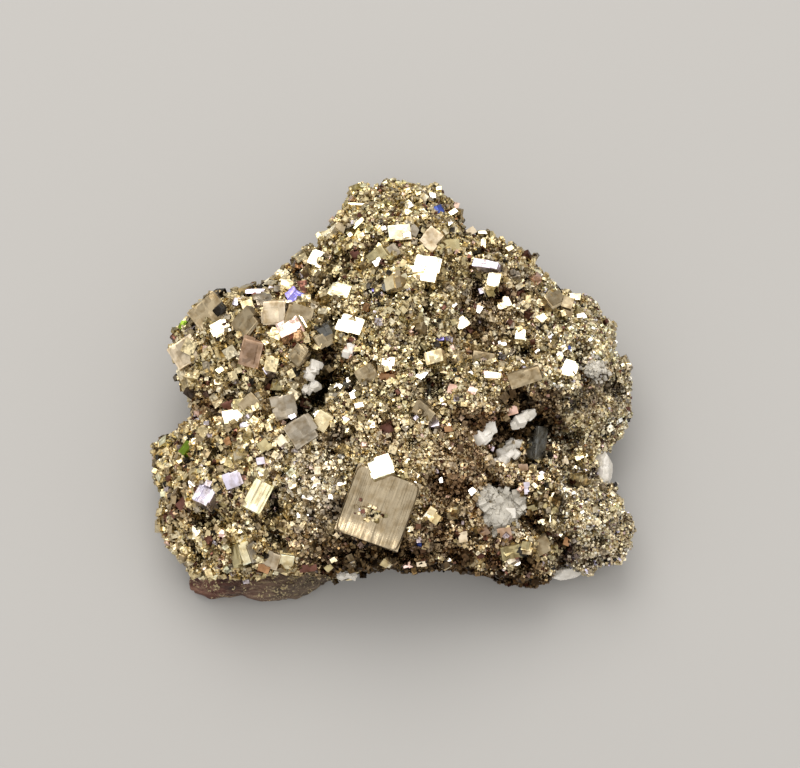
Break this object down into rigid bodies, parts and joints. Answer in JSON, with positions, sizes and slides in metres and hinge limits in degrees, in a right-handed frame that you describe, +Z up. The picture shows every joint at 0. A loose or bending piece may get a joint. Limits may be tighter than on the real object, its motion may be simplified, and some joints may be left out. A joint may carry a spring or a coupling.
{
  "type": "pyrite specimen",
  "caption": "Hand-sized display mineral: an uneven mass of intergrown brassy cubes over a ledge of red-brown host rock, with white quartz set in it; it rests on its flat underside.",
  "frame": {"origin": "middle of the box's bottom, on the surface that the specimen rests on", "axes": "+X along the specimen's width, +Y from the ledge side to the narrow lobe, +Z up from the flat underside"},
  "size_m": [0.0676, 0.0607, 0.0241],
  "materials": {
    "pyrite": "bright metallic pale brass crystal faces, with tarnish tints",
    "host_rock": "rough red-brown rock with specks of pyrite",
    "quartz": "white to grey, slightly clear, sugary"
  },
  "bodies": {
    "root": {"pyrite_mass": "pyrite", "host_rock_ledge": "host_rock", "quartz_patch": "quartz", "quartz_chip_left": "quartz", "quartz_chip_middle": "quartz", "quartz_chip_back": "quartz", "quartz_chip_front": "quartz", "quartz_flake": "quartz", "quartz_rim": "quartz"}
  },
  "joints": []
}
